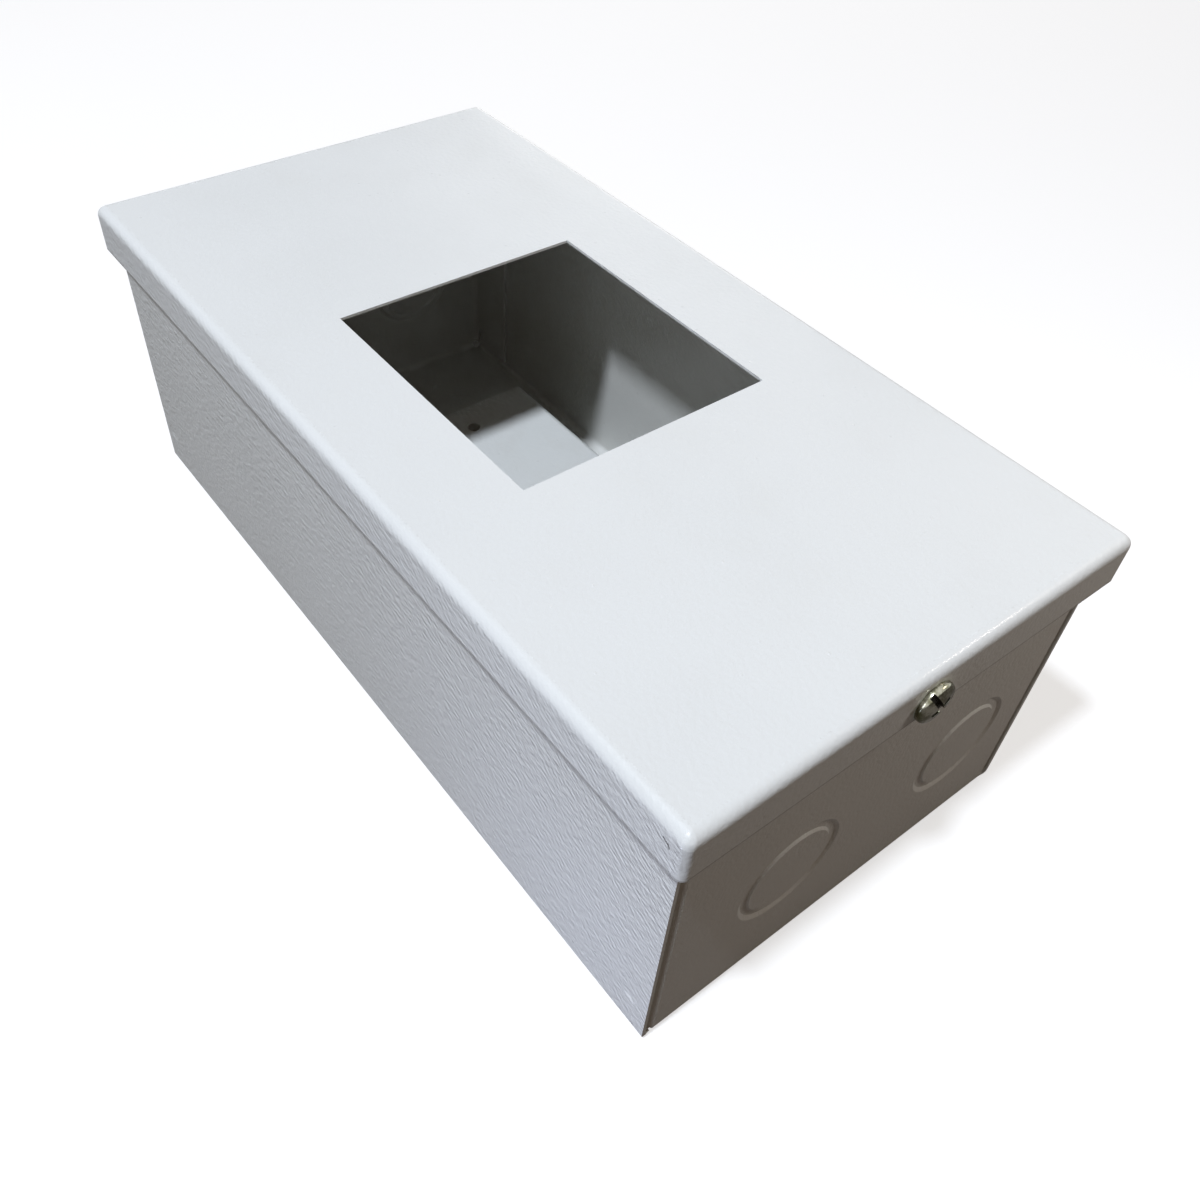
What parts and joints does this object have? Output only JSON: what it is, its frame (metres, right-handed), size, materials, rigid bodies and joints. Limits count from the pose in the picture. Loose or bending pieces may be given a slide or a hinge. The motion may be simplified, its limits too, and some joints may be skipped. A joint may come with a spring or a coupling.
{
  "type": "metal junction box",
  "caption": "Painted folded-steel device box with a windowed lift-off cover, stepped knockouts and an inner hat bracket.",
  "frame": {"origin": "centre of the back, in the plane of its outer face", "axes": "+X along the box towards the near end, +Y across it, +Z out of the wall towards the cover"},
  "size_m": [0.2776, 0.14, 0.098],
  "materials": {
    "painted_sheet": "light grey powder coat with a fine orange-peel texture",
    "painted_cover": "light grey powder coat with a fine orange-peel texture",
    "plated_screw": "bright zinc plating with a slight yellow cast",
    "painted_nut": "overspray of the same powder coat"
  },
  "bodies": {
    "root": {"body": "painted_sheet", "cover": "painted_cover", "device_bracket": "painted_sheet", "cover_screw_near": "plated_screw", "cover_screw_far": "plated_screw", "weld_nut_near": "painted_nut", "weld_nut_far": "painted_nut"}
  },
  "joints": []
}
